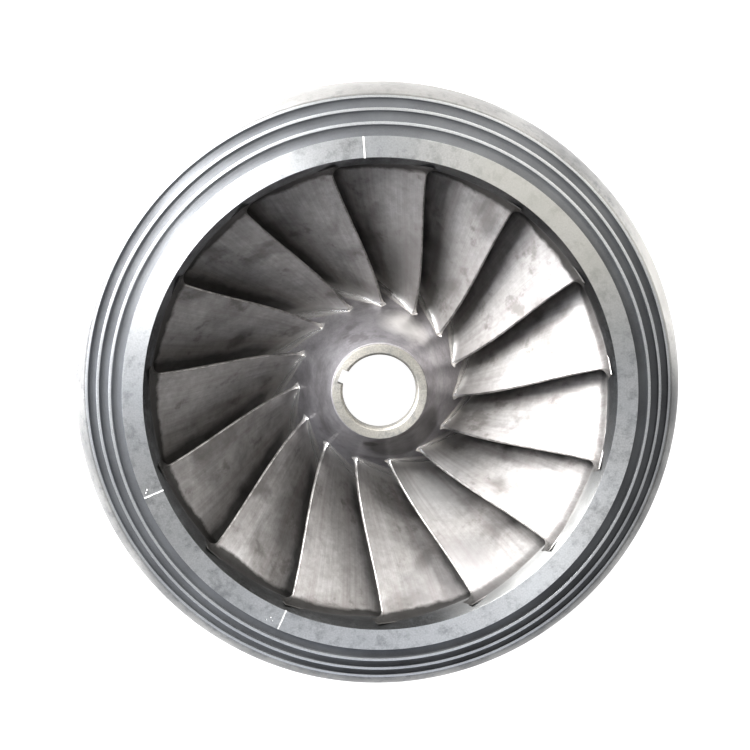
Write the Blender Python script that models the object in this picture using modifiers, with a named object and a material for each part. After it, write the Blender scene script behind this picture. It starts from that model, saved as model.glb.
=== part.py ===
"""Runner of a small high-head Francis turbine, lying on its crown with the outlet facing up.

Water enters between the blades all round the rim, turns inside the runner and leaves upwards.
Lengths are in metres. +Z is the axis of rotation and points out of the outlet. The origin is on
that axis, on the back face of the hub, which is what the runner lies on.
"""

import math

import bmesh
import bpy
from mathutils import Vector

# Sizes of the whole runner
RIM_RADIUS = 0.420
OUTLET_FACE_HEIGHT = 0.330
SEGMENTS = 60
FIT_GAP = 0.0003

# Band: the ring that joins the outer ends of the blades
THROAT_RADIUS = 0.303
THROAT_TOP = 0.314
OUTLET_RADIUS = 0.310
OUTLET_FACE_RADIUS = 0.3375
BAND_INLET_HEIGHT = 0.178
BAND_LEDGE_HEIGHT = 0.238
BAND_LIP_HEIGHT = 0.2575
BAND_SHOULDER_RADIUS = 0.3985
SHOULDER_CORNER = (0.4135, 0.243)
SHOULDER_STEPS = 5
BAND_RIM_TOP = 0.195
INLET_CHAMFER = 0.002
TIP_SETBACK = 0.008
BAND_FLOW_STEPS = 10

# Labyrinth lands of the band's seal ring, from the outlet face outwards
# Each has an inner radius, an outer radius and a height
BAND_LANDS = (
    (0.3533, 0.3569, 0.316),
    (0.3734, 0.3770, 0.288),
    (0.3925, 0.3957, 0.260),
)
GROOVE_DEPTH = 0.006

# Crown: the disc and hub that carry the inner ends of the blades
CROWN_INLET_HEIGHT = 0.068
CROWN_BACK_HEIGHT = 0.040
CROWN_LEVEL_SHARE = 0.62
CROWN_FLOW_STEPS = 14
ROOT_RADIUS = 0.112
ROOT_HEIGHT = 0.148
ROOT_RUN = 0.045
ROOT_RISE = 0.078
NOSE_RADIUS = 0.0655
NOSE_HEIGHT = 0.256
NOSE_RUN = 0.0125
NOSE_RISE = 0.036
NOSE_STEPS = 5
HUB_BACK_RADIUS = 0.122
HUB_FILLET_RADIUS = 0.020
HUB_FILLET_STEPS = 3
HUB_CHAMFER = 0.002

# Seal ring on the back of the crown
CROWN_RING_INNER_RADIUS = 0.340
CROWN_RING_OUTER_RADIUS = 0.396
CROWN_RING_BOTTOM = 0.014
CROWN_RING_LANDS = 3
CROWN_RING_LAND_WIDTH = 0.0056

# Hollow of the hub, which widens from the sleeve down to the register on its back
HOLLOW_TOP_RADIUS = 0.058
HOLLOW_BOTTOM_RADIUS = 0.088
REGISTER_RADIUS = 0.092
REGISTER_DEPTH = 0.030

# Sleeve in the nose, bored for the bolt that holds the runner on its shaft
BORE_RADIUS = 0.050
SLEEVE_RADIUS = 0.064
SLEEVE_TOP = 0.266
SLEEVE_BOTTOM = 0.236
SEAT_CHAMFER_WIDTH = 0.0025
SEAT_CHAMFER_HEIGHT = 0.003
SLEEVE_CHAMFER = 0.001
KEYWAY_WIDTH = 0.020
KEYWAY_DEPTH = 0.008
KEYWAY_ANGLE = math.radians(158.6)
SLOTTING_OVERRUN = 0.010

# Blades
BLADE_COUNT = 15
FIRST_TIP_ANGLE = math.radians(102.5)
LEADING_EDGE_RADIUS = 0.410
WRAP_ANGLE = math.radians(50.0)
ROOT_LEAD = math.radians(16.5)
INLET_BLADE_ANGLE = math.radians(75.0)
TIP_OUTLET_ANGLE = math.radians(20.0)
BLADE_HALF_THICKNESS = 0.0052
TRAILING_HALF_THICKNESS = 0.0022
ROUND_NOSE_CHORD = 0.06
TAPER_START_CHORD = 0.35
BLADE_GAP = 0.0008
CHORD_STEP = 0.001
SPAN_STATIONS = 7
CHORD_STATIONS = (0.0, 0.012, 0.04, 0.1, 0.2, 0.32, 0.45, 0.58, 0.7, 0.8, 0.88, 0.94, 1.0)

# Finishes: colour, roughness, metallic
GROUND_CASTING = ("ground_casting", (0.30, 0.29, 0.29), 0.42, 0.9)
TURNED_STEEL = ("turned_steel", (0.52, 0.53, 0.54), 0.30, 1.0)
SLEEVE_STEEL = ("sleeve_steel", (0.55, 0.54, 0.48), 0.35, 1.0)


def clear_scene():
    for obj in list(bpy.data.objects):
        bpy.data.objects.remove(obj)


def new_collection(name):
    collection = bpy.data.collections.new(name)
    bpy.context.scene.collection.children.link(collection)
    return collection


def new_material(finish):
    name, colour, roughness, metallic = finish
    material = bpy.data.materials.new(name)
    material.use_nodes = True
    shader = material.node_tree.nodes["Principled BSDF"]
    shader.inputs["Base Color"].default_value = (*colour, 1.0)
    shader.inputs["Roughness"].default_value = roughness
    shader.inputs["Metallic"].default_value = metallic
    return material


def smooth_round_faces(mesh):
    mesh.shade_smooth()
    mesh.set_sharp_from_angle(angle=math.radians(30.0))


def add_object(name, mesh, collection, axis, material):
    """Links a mesh as an object that hangs from the runner's axis."""
    obj = bpy.data.objects.new(name, mesh)
    collection.objects.link(obj)
    obj.parent = axis
    if not mesh.materials:
        mesh.materials.append(material)
    return obj


def turned_object(name, profile, collection, axis, material):
    """Turns a closed outline of (radius, height) points about the axis.

    The outline runs down its outer side and up its inner side, so that the faces point out.
    """
    mesh = bpy.data.meshes.new(name)
    points = [(radius, 0.0, height) for radius, height in profile]
    edges = [(i, (i + 1) % len(points)) for i in range(len(points))]
    mesh.from_pydata(points, edges, [])
    obj = add_object(name, mesh, collection, axis, material)
    screw = obj.modifiers.new("Turn", "SCREW")
    screw.axis = "Z"
    screw.angle = math.tau
    screw.steps = SEGMENTS
    screw.render_steps = SEGMENTS
    screw.use_merge_vertices = True
    screw.merge_threshold = 0.00001
    screw.use_smooth_shade = False
    return obj


def bake_modifiers(obj):
    """Replaces an object's mesh by the mesh that its modifiers make, shaded smooth where it is round."""
    graph = bpy.context.evaluated_depsgraph_get()
    baked = bpy.data.meshes.new_from_object(obj.evaluated_get(graph))
    obj.modifiers.clear()
    obj.data = baked
    smooth_round_faces(baked)
    return obj


def cubic_point(start, first, second, end, t):
    """A point of a cubic curve in the (radius, height) plane."""
    weights = ((1 - t) ** 3, 3 * t * (1 - t) ** 2, 3 * t * t * (1 - t), t**3)
    corners = (start, first, second, end)
    radius = sum(w * corner[0] for w, corner in zip(weights, corners))
    height = sum(w * corner[1] for w, corner in zip(weights, corners))
    return radius, height


def round_corner(start, corner, end, steps):
    """Points from start to end along a curve that leaves and arrives on the lines to the corner."""
    points = []
    for i in range(steps + 1):
        t = i / steps
        weights = ((1 - t) ** 2, 2 * t * (1 - t), t * t)
        radius = sum(w * point[0] for w, point in zip(weights, (start, corner, end)))
        height = sum(w * point[1] for w, point in zip(weights, (start, corner, end)))
        points.append((radius, height))
    return points


def crown_flow_point(t):
    """Crown's wetted side: t is 0 at the rim and 1 at the blade roots, and may run a little past 1."""
    return cubic_point(
        (RIM_RADIUS, CROWN_INLET_HEIGHT),
        (CROWN_LEVEL_SHARE * RIM_RADIUS, CROWN_INLET_HEIGHT),
        (ROOT_RADIUS + ROOT_RUN, ROOT_HEIGHT - ROOT_RISE),
        (ROOT_RADIUS, ROOT_HEIGHT),
        t,
    )


def nose_point(t):
    """Nose of the crown: t is 0 at the blade roots, which it leaves on their slope, and 1 at its top."""
    return cubic_point(
        (ROOT_RADIUS, ROOT_HEIGHT),
        (ROOT_RADIUS - ROOT_RUN / 3, ROOT_HEIGHT + ROOT_RISE / 3),
        (NOSE_RADIUS + NOSE_RUN, NOSE_HEIGHT - NOSE_RISE),
        (NOSE_RADIUS, NOSE_HEIGHT),
        t,
    )


def band_flow_point(t):
    """Band's wetted side: a quarter ellipse, t 0 at the rim and 1 at the throat, then straight up."""
    width = RIM_RADIUS - THROAT_RADIUS
    rise = tip_height() - BAND_INLET_HEIGHT
    turn = min(t, 1.0) * math.pi / 2
    beyond = max(t - 1.0, 0.0) * width * math.pi / 2
    return RIM_RADIUS - width * math.sin(turn), tip_height() - rise * math.cos(turn) + beyond


def tip_height():
    """Height at which the trailing edges meet the band, a little inside the outlet face."""
    return THROAT_TOP - TIP_SETBACK


def band_profile():
    """Outlet face, ledge for the seal ring, lip and shoulder outside it, rim, and the wetted side."""
    ledge_outer = BAND_LANDS[-1][1] + FIT_GAP
    shoulder = round_corner(
        (BAND_SHOULDER_RADIUS, BAND_LIP_HEIGHT),
        SHOULDER_CORNER,
        (RIM_RADIUS, BAND_RIM_TOP),
        SHOULDER_STEPS,
    )
    flow = [band_flow_point(i / BAND_FLOW_STEPS) for i in range(1, BAND_FLOW_STEPS + 1)]
    return [
        (OUTLET_RADIUS, OUTLET_FACE_HEIGHT),
        (OUTLET_FACE_RADIUS, OUTLET_FACE_HEIGHT),
        (OUTLET_FACE_RADIUS, BAND_LEDGE_HEIGHT),
        (ledge_outer, BAND_LEDGE_HEIGHT),
        (ledge_outer, BAND_LIP_HEIGHT),
        *shoulder,
        (RIM_RADIUS, BAND_INLET_HEIGHT + INLET_CHAMFER),
        (RIM_RADIUS - INLET_CHAMFER, BAND_INLET_HEIGHT),
        *flow,
        (THROAT_RADIUS, THROAT_TOP),
    ]


def band_seal_ring_profile():
    """Stepped labyrinth: after each land comes a drop, and a groove in front of the next land."""
    inner = OUTLET_FACE_RADIUS + FIT_GAP
    bottom = BAND_LEDGE_HEIGHT + FIT_GAP
    outline = [(inner, BAND_LANDS[0][2] - GROOVE_DEPTH)]
    for land_inner, land_outer, height in BAND_LANDS:
        outline.append((outline[-1][0], height - GROOVE_DEPTH))
        outline.append((land_inner, height - GROOVE_DEPTH))
        outline.append((land_inner, height))
        outline.append((land_outer, height))
    outline.append((outline[-1][0], bottom))
    outline.append((inner, bottom))
    return outline[1:]


def crown_profile():
    """Nose, wetted side out to the rim, back, hub, its hollow, and the seat of the sleeve."""
    nose = [nose_point(1 - i / NOSE_STEPS) for i in range(NOSE_STEPS + 1)]
    flow = [crown_flow_point(1 - i / CROWN_FLOW_STEPS) for i in range(1, CROWN_FLOW_STEPS + 1)]
    fillet = []
    for i in range(HUB_FILLET_STEPS + 1):
        turn = math.pi / 2 * i / HUB_FILLET_STEPS
        radius = HUB_BACK_RADIUS + HUB_FILLET_RADIUS * (1 - math.sin(turn))
        height = CROWN_BACK_HEIGHT - HUB_FILLET_RADIUS * (1 - math.cos(turn))
        fillet.append((radius, height))
    return [
        (SLEEVE_RADIUS + FIT_GAP, NOSE_HEIGHT),
        *nose,
        *flow,
        (RIM_RADIUS, CROWN_BACK_HEIGHT),
        *fillet,
        (HUB_BACK_RADIUS, HUB_CHAMFER),
        (HUB_BACK_RADIUS - HUB_CHAMFER, 0.0),
        (REGISTER_RADIUS, 0.0),
        (REGISTER_RADIUS, REGISTER_DEPTH),
        (HOLLOW_BOTTOM_RADIUS, REGISTER_DEPTH),
        (HOLLOW_TOP_RADIUS, SLEEVE_BOTTOM - FIT_GAP),
        (SLEEVE_RADIUS + FIT_GAP, SLEEVE_BOTTOM - FIT_GAP),
    ]


def crown_seal_ring_profile():
    """Comb of concentric lands that face away from the blades."""
    top = CROWN_BACK_HEIGHT - FIT_GAP
    width = CROWN_RING_OUTER_RADIUS - CROWN_RING_INNER_RADIUS
    pitch = (width - CROWN_RING_LAND_WIDTH) / (CROWN_RING_LANDS - 1)
    outline = [(CROWN_RING_OUTER_RADIUS, top)]
    for i in range(CROWN_RING_LANDS):
        outer = CROWN_RING_OUTER_RADIUS - i * pitch
        inner = outer - CROWN_RING_LAND_WIDTH
        if i > 0:
            outline.append((outer, CROWN_RING_BOTTOM + GROOVE_DEPTH))
        outline.append((outer, CROWN_RING_BOTTOM))
        outline.append((inner, CROWN_RING_BOTTOM))
        if i < CROWN_RING_LANDS - 1:
            outline.append((inner, CROWN_RING_BOTTOM + GROOVE_DEPTH))
    outline.append((CROWN_RING_INNER_RADIUS, top))
    return outline


def sleeve_profile():
    return [
        (BORE_RADIUS + SEAT_CHAMFER_WIDTH, SLEEVE_TOP),
        (SLEEVE_RADIUS - SLEEVE_CHAMFER, SLEEVE_TOP),
        (SLEEVE_RADIUS, SLEEVE_TOP - SLEEVE_CHAMFER),
        (SLEEVE_RADIUS, SLEEVE_BOTTOM),
        (BORE_RADIUS, SLEEVE_BOTTOM),
        (BORE_RADIUS, SLEEVE_TOP - SEAT_CHAMFER_HEIGHT),
    ]


def keyway_cutter(collection, axis):
    """A bar through the sleeve's wall, from inside the bore to the bottom of the keyway."""
    inner = BORE_RADIUS - SLOTTING_OVERRUN
    outer = BORE_RADIUS + KEYWAY_DEPTH
    centre = ((inner + outer) / 2, 0.0, (SLEEVE_TOP + SLEEVE_BOTTOM) / 2)
    height = 2 * (SLEEVE_TOP - SLEEVE_BOTTOM)
    mesh = bpy.data.meshes.new("keyway_cutter")
    shape = bmesh.new()
    bmesh.ops.create_cube(shape, size=1.0)
    bmesh.ops.scale(shape, vec=(outer - inner, KEYWAY_WIDTH, height), verts=shape.verts)
    bmesh.ops.translate(shape, vec=centre, verts=shape.verts)
    shape.to_mesh(mesh)
    shape.free()
    cutter = bpy.data.objects.new("keyway_cutter", mesh)
    collection.objects.link(cutter)
    cutter.parent = axis
    cutter.rotation_euler.z = KEYWAY_ANGLE
    cutter.hide_render = True
    cutter.display_type = "WIRE"
    return cutter


def cut(obj, cutter):
    boolean = obj.modifiers.new("Cut", "BOOLEAN")
    boolean.operation = "DIFFERENCE"
    boolean.object = cutter


def leading_edge_turns():
    """How far along each wetted side the leading edge lies."""
    setback = RIM_RADIUS - LEADING_EDGE_RADIUS
    on_band = math.asin(setback / (RIM_RADIUS - THROAT_RADIUS)) / (math.pi / 2)
    on_crown = setback / (3 * (1 - CROWN_LEVEL_SHARE) * RIM_RADIUS)
    return on_crown, on_band


def channel_point(span, chord):
    """Radius and height inside the channel. span is 0 at the crown and 1 at the band."""
    on_crown, on_band = leading_edge_turns()
    crown = crown_flow_point(on_crown + (1 - on_crown) * chord)
    band = band_flow_point(on_band + (1 - on_band) * chord)
    return Vector(crown) * (1 - span) + Vector(band) * span


def channel_speed(span, chord):
    """Length along the channel for each unit of chord."""
    ahead = channel_point(span, chord + CHORD_STEP)
    return (ahead - channel_point(span, chord)).length / CHORD_STEP


def camber_angle(span, chord):
    """Angle about the axis of the blade's middle, from the blade's own tip angle.

    A cubic meets the wanted blade angle at both edges. Near the outlet the blade lies flatter
    towards the band, where it moves faster.
    """
    leading = channel_point(span, 0.0)
    start_slope = -channel_speed(span, 0.0) / (leading.x * math.tan(INLET_BLADE_ANGLE))
    end_slope = -channel_speed(span, 1.0) / (THROAT_RADIUS * math.tan(TIP_OUTLET_ANGLE))
    inward = 1 - span
    end_angle = -ROOT_LEAD * inward * (1 + 3 * inward) / 4
    t = chord
    return (
        (2 * t**3 - 3 * t * t + 1) * WRAP_ANGLE
        + (t**3 - 2 * t * t + t) * start_slope
        + (3 * t * t - 2 * t**3) * end_angle
        + (t**3 - t * t) * end_slope
    )


def half_thickness(chord):
    """Round at the leading edge, then tapering to the trailing edge."""
    nose = math.sqrt(min(chord / ROUND_NOSE_CHORD, 1.0))
    taper = max((chord - TAPER_START_CHORD) / (1 - TAPER_START_CHORD), 0.0)
    return nose * (BLADE_HALF_THICKNESS + (TRAILING_HALF_THICKNESS - BLADE_HALF_THICKNESS) * taper)


def blade_point(span, chord, side):
    """A point on the blade's skin. side is 1 or -1, and moves it off the middle at a right angle."""
    along = channel_speed(span, chord)
    middle = channel_point(span, chord)
    turn = camber_angle(span, chord + CHORD_STEP) - camber_angle(span, chord)
    across = middle.x * turn / CHORD_STEP
    length = math.hypot(along, across)
    offset = side * half_thickness(chord)
    moved = chord - offset * across / length / along
    radius, height = channel_point(span, moved)
    angle = camber_angle(span, chord) + offset * along / length / middle.x
    return Vector((radius * math.cos(angle), radius * math.sin(angle), height))


def blade_section(span):
    """Closed loop round the blade at one span: leading edge, one side out, the other side back."""
    width = (channel_point(1.0, 0.5) - channel_point(0.0, 0.5)).length
    margin = BLADE_GAP / width
    inside = margin + (1 - 2 * margin) * span
    one_side = [blade_point(inside, chord, 1) for chord in CHORD_STATIONS[1:]]
    other_side = [blade_point(inside, chord, -1) for chord in reversed(CHORD_STATIONS[1:])]
    return [blade_point(inside, 0.0, 1), *one_side, *other_side]


def blade_mesh():
    """Lofts the sections from the crown to the band and closes both ends."""
    shape = bmesh.new()
    spans = [i / (SPAN_STATIONS - 1) for i in range(SPAN_STATIONS)]
    rings = [[shape.verts.new(point) for point in blade_section(span)] for span in spans]
    count = len(rings[0])
    for lower, upper in zip(rings, rings[1:]):
        for i in range(count):
            j = (i + 1) % count
            shape.faces.new((lower[i], lower[j], upper[j], upper[i]))
    for ring in (rings[0], rings[-1]):
        shape.faces.new((ring[0], ring[1], ring[count - 1]))
        for i in range(1, count // 2):
            shape.faces.new((ring[i], ring[i + 1], ring[count - 1 - i], ring[count - i]))
    bmesh.ops.recalc_face_normals(shape, faces=shape.faces)
    mesh = bpy.data.meshes.new("blade")
    shape.to_mesh(mesh)
    shape.free()
    smooth_round_faces(mesh)
    return mesh


def build_runner():
    clear_scene()
    parts = new_collection("francis_runner")
    cutters = new_collection("cutters")
    axis = bpy.data.objects.new("runner_axis", None)
    parts.objects.link(axis)
    casting = new_material(GROUND_CASTING)
    turned = new_material(TURNED_STEEL)
    sleeve_steel = new_material(SLEEVE_STEEL)

    turned_pieces = (
        ("crown", crown_profile(), casting),
        ("crown_seal_ring", crown_seal_ring_profile(), turned),
        ("band", band_profile(), turned),
        ("band_seal_ring", band_seal_ring_profile(), turned),
    )
    for name, profile, material in turned_pieces:
        bake_modifiers(turned_object(name, profile, parts, axis, material))

    sleeve = turned_object("shaft_sleeve", sleeve_profile(), parts, axis, sleeve_steel)
    cut(sleeve, keyway_cutter(cutters, axis))
    bake_modifiers(sleeve)

    shared_blade = blade_mesh()
    for i in range(BLADE_COUNT):
        blade = add_object(f"blade_{i + 1:02d}", shared_blade, parts, axis, casting)
        blade.rotation_euler.z = FIRST_TIP_ANGLE + i * math.tau / BLADE_COUNT


build_runner()
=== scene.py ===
# %% [markdown]
# # The runner of a small Francis turbine
#
# Water comes in between the blades all round the rim of this wheel, turns through a right angle inside
# it, and leaves through the round eye that faces us. The wheel lies on the back of its hub with that
# eye up. This notebook dresses a plain model of the wheel: every ring and blade is modelled again with
# finer steps, round fillets and broken edges, and each gets the finish of the machine that made it.
# Lengths are in metres, +Z is the axis of rotation, and +Y is the top of the picture.

# %% Load the plain model
import math

import bmesh
import bpy
from mathutils import Matrix, Vector


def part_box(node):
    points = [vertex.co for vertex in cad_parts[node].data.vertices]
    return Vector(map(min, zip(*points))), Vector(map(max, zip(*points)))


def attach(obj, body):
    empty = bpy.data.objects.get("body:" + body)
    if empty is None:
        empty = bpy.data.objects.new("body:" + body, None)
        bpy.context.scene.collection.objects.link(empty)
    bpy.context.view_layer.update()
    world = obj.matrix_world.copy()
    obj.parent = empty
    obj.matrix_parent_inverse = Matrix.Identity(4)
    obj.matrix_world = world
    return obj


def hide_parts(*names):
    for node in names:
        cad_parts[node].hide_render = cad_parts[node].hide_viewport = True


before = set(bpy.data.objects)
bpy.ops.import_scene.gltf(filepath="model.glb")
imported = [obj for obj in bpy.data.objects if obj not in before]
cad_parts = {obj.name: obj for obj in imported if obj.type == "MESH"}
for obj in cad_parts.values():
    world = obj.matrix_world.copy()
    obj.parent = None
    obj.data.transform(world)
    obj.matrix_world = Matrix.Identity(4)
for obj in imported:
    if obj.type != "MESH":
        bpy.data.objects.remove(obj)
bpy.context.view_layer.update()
print("pieces in the plain model:", len(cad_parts))

# %% [markdown]
# ## Sizes
#
# The large sizes are read from the plain model, so the dressed wheel can't drift away from it. The
# others are the driving sizes of the drawing: radii of the sealing lands, the curve of the water's
# path, and the angles of the blades. A run and a rise say which way a curved wall sets off.

# %% Sizes of the rings
RIM_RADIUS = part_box("band")[1].x
OUTLET_FACE_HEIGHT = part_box("band")[1].z
BAND_INLET_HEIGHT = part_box("band")[0].z
NOSE_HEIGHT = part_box("crown")[1].z
SLEEVE_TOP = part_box("shaft_sleeve")[1].z
SLEEVE_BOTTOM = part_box("shaft_sleeve")[0].z
SLEEVE_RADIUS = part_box("shaft_sleeve")[1].x
CROWN_RING_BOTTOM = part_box("crown_seal_ring")[0].z

OUTLET_RADIUS = 0.310
OUTLET_FACE_RADIUS = 0.3375
THROAT_RADIUS = 0.303
THROAT_TOP = 0.314
TIP_HEIGHT = 0.306
BAND_LEDGE_HEIGHT = 0.238
BAND_LIP_HEIGHT = 0.2575
BAND_SHOULDER_RADIUS = 0.3985
BAND_SHOULDER_CORNER = (0.4135, 0.243)
BAND_RIM_TOP = 0.195
RIM_CHAMFER = 0.002
# Inner radius, outer radius and height of each land.
BAND_LANDS = ((0.3533, 0.3569, 0.316), (0.3734, 0.3770, 0.288), (0.3925, 0.3957, 0.260))
GROOVE_DEPTH = 0.006
# A fitted piece is let this far into the piece that carries it, so that no gap shows.
SEATED = 0.0004
print("rim diameter", round(2 * RIM_RADIUS, 3), "m, height", round(OUTLET_FACE_HEIGHT, 3), "m")

# %% Sizes of the crown and the sleeve
CROWN_INLET_HEIGHT = 0.068
CROWN_BACK_HEIGHT = 0.040
CROWN_FLAT_SHARE = 0.62
ROOT_RADIUS = 0.112
ROOT_HEIGHT = 0.148
ROOT_RUN = 0.045
ROOT_RISE = 0.078
NOSE_RADIUS = 0.0655
NOSE_RUN = 0.0125
NOSE_RISE = 0.036
HUB_BACK_RADIUS = 0.122
HUB_FILLET_RADIUS = 0.020
CROWN_RING_INNER_RADIUS = 0.340
CROWN_RING_OUTER_RADIUS = 0.396
CROWN_RING_LANDS = 3
LAND_WIDTH = 0.0056
HOLLOW_TOP_RADIUS = 0.058
HOLLOW_BOTTOM_RADIUS = 0.088
REGISTER_RADIUS = 0.092
REGISTER_DEPTH = 0.030
BORE_RADIUS = 0.050
KEYWAY_WIDTH = 0.020
KEYWAY_DEPTH = 0.008
KEYWAY_ANGLE = math.radians(158.6)

# %% [markdown]
# ## The camera
#
# The photograph looks almost straight into the eye, from a little above the axis and a little to its
# left. How far the deep circles are shifted against the near ones gives both angles, and how much
# they shrink gives the distance. Seen so steeply, "up" in the picture is +Y, so the camera's own axes
# are built by hand: a look-at helper that keeps Z up would roll the picture.

# %% Camera
CAMERA_DISTANCE = 1.969
CAMERA_LENS_MM = 72.4
SENSOR_WIDTH_MM = 36.0
# The lens points a little beside the eye's centre, which sets the wheel in the frame.
AIM_OFFSET = Vector((-0.0084, 0.029, 0.0))
ANGLE_ABOVE_AXIS = math.radians(6.4)
ANGLE_LEFT_OF_AXIS = math.radians(2.0)
face_centre = Vector((0.0, 0.0, OUTLET_FACE_HEIGHT))
aim = face_centre + AIM_OFFSET

sideways = -math.sin(ANGLE_LEFT_OF_AXIS)
upwards = math.sin(ANGLE_ABOVE_AXIS)
towards = math.sqrt(1 - sideways**2 - upwards**2)
camera_place = face_centre + CAMERA_DISTANCE * Vector((sideways, upwards, towards))

bpy.ops.object.camera_add(location=camera_place)
camera = bpy.context.object
camera.name = "camera"
camera.data.lens = CAMERA_LENS_MM
camera.data.sensor_width = SENSOR_WIDTH_MM
back = (camera_place - aim).normalized()
right = Vector((0.0, 1.0, 0.0)).cross(back).normalized()
camera.rotation_euler = Matrix((right, back.cross(right), back)).transposed().to_euler()
bpy.context.scene.camera = camera
print("camera at", [round(value, 3) for value in camera_place])

# %% [markdown]
# ## Turning a ring
#
# Every ring of the wheel was cut on a lathe, so it is one outline carried round the axis. The outline
# starts as a circle primitive with one corner for each point. In edit mode the corners move to their
# radii and heights, and Spin carries them once round. A bevel then breaks the sharp edges, as a
# turner does with a file: it catches the thin bright line that every real edge has.

# %% Turn an outline
TURN_STEPS = 240
SMOOTH_BELOW = math.radians(32)
BREAK_ABOVE = math.radians(40)
MERGE_DISTANCE = 0.00001


def deselect_all():
    if bpy.context.mode != "OBJECT":
        bpy.ops.object.mode_set(mode="OBJECT")
    bpy.ops.object.select_all(action="DESELECT")


def break_edges(piece, width):
    bevel = piece.modifiers.new("Broken edges", "BEVEL")
    bevel.width = width
    bevel.segments = 2
    bevel.limit_method = "ANGLE"
    bevel.angle_limit = BREAK_ABOVE
    bevel.use_clamp_overlap = True
    bpy.ops.object.modifier_apply(modifier=bevel.name)


def turn_outline(name, outline, edge=0.0006, steps=TURN_STEPS):
    """Makes a turned ring from a closed outline of (radius, height) points."""
    deselect_all()
    bpy.ops.mesh.primitive_circle_add(vertices=len(outline), radius=0.01)
    piece = bpy.context.object
    piece.name = name
    piece.data.name = name
    bpy.ops.object.mode_set(mode="EDIT")
    shape = bmesh.from_edit_mesh(piece.data)
    shape.verts.ensure_lookup_table()
    for corner, (radius, height) in zip(shape.verts, outline):
        corner.co = (radius, 0.0, height)
    bmesh.update_edit_mesh(piece.data)
    bpy.ops.mesh.select_all(action="SELECT")
    bpy.ops.mesh.spin(steps=steps, angle=math.tau, center=(0, 0, 0), axis=(0, 0, 1))
    bpy.ops.mesh.select_all(action="SELECT")
    bpy.ops.mesh.remove_doubles(threshold=MERGE_DISTANCE)
    bpy.ops.mesh.normals_make_consistent(inside=False)
    bpy.ops.object.mode_set(mode="OBJECT")
    break_edges(piece, edge)
    bpy.ops.object.shade_smooth_by_angle(angle=SMOOTH_BELOW)
    print(name, "has", len(piece.data.polygons), "faces")
    return piece


def keep_flats_flat(piece):
    """Lets wide faces set the shading, so that a narrow bevel doesn't make a flat look round."""
    deselect_all()
    bpy.context.view_layer.objects.active = piece
    piece.select_set(True)
    weighted = piece.modifiers.new("Flat flats", "WEIGHTED_NORMAL")
    weighted.weight = 100
    weighted.keep_sharp = True
    bpy.ops.object.modifier_apply(modifier=weighted.name)


def arc(start, corner, end, steps):
    """Points of a curve from start to end that leaves and arrives along the lines to corner."""
    points = []
    for i in range(steps + 1):
        t = i / steps
        radius = (1 - t) ** 2 * start[0] + 2 * t * (1 - t) * corner[0] + t * t * end[0]
        height = (1 - t) ** 2 * start[1] + 2 * t * (1 - t) * corner[1] + t * t * end[1]
        points.append((radius, height))
    return points


# %% [markdown]
# ## The water's path
#
# Crown and band are the two walls of one channel. The crown's wall is a cubic curve from the rim to
# the blade roots. The band's wall is a quarter of an ellipse from the rim to the throat. Both are
# functions of one number, 0 at the rim and 1 at the blades' trailing edges, because the blades are
# stretched between the same two curves later.

# %% Walls of the channel
CROWN_WALL = (
    (RIM_RADIUS, CROWN_INLET_HEIGHT),
    (CROWN_FLAT_SHARE * RIM_RADIUS, CROWN_INLET_HEIGHT),
    (ROOT_RADIUS + ROOT_RUN, ROOT_HEIGHT - ROOT_RISE),
    (ROOT_RADIUS, ROOT_HEIGHT),
)


def cubic(corners, t):
    weights = ((1 - t) ** 3, 3 * t * (1 - t) ** 2, 3 * t * t * (1 - t), t**3)
    radius = sum(weight * corner[0] for weight, corner in zip(weights, corners))
    height = sum(weight * corner[1] for weight, corner in zip(weights, corners))
    return Vector((radius, height))


def crown_wall(t):
    return cubic(CROWN_WALL, t)


def band_wall(t):
    width = RIM_RADIUS - THROAT_RADIUS
    turn = min(t, 1.0) * math.pi / 2
    beyond = max(t - 1.0, 0.0) * width * math.pi / 2
    height = TIP_HEIGHT - (TIP_HEIGHT - BAND_INLET_HEIGHT) * math.cos(turn) + beyond
    return Vector((RIM_RADIUS - width * math.sin(turn), height))


print("inlet height", round(BAND_INLET_HEIGHT - CROWN_INLET_HEIGHT, 3), "m")

# %% [markdown]
# ## The band
#
# The band ties the outer ends of the blades together. Its flat outlet face is the light ring round
# the eye. Outside it steps down to a ledge for the seal ring, then falls in a round shoulder to the
# rim. Its inner side is the wall of the water's path.

# %% Band
SEAL_GAP = 0.0004
SHOULDER_STEPS = 10
WETTED_STEPS = 24
ledge_outer = BAND_LANDS[-1][1] + SEAL_GAP
shoulder = arc(
    (BAND_SHOULDER_RADIUS, BAND_LIP_HEIGHT),
    BAND_SHOULDER_CORNER,
    (RIM_RADIUS, BAND_RIM_TOP),
    SHOULDER_STEPS,
)
wetted = [tuple(band_wall(i / WETTED_STEPS)) for i in range(1, WETTED_STEPS)]
band_outline = [
    (OUTLET_FACE_RADIUS, OUTLET_FACE_HEIGHT),
    (OUTLET_FACE_RADIUS, BAND_LEDGE_HEIGHT),
    (ledge_outer, BAND_LEDGE_HEIGHT),
    (ledge_outer, BAND_LIP_HEIGHT),
    *shoulder,
    (RIM_RADIUS, BAND_INLET_HEIGHT + RIM_CHAMFER),
    (RIM_RADIUS - RIM_CHAMFER, BAND_INLET_HEIGHT),
    *wetted,
    (THROAT_RADIUS, THROAT_TOP),
    (OUTLET_RADIUS, OUTLET_FACE_HEIGHT),
]
band = turn_outline("band_turned", band_outline, edge=0.0003)

# %% [markdown]
# ## Seal rings
#
# Water would leak past the wheel, so both sides carry a labyrinth: narrow bright lands with a rough
# turned groove in front of each. On the band the lands go down in steps. On the crown's back they
# are rings of one height that face away from the blades.

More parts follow.
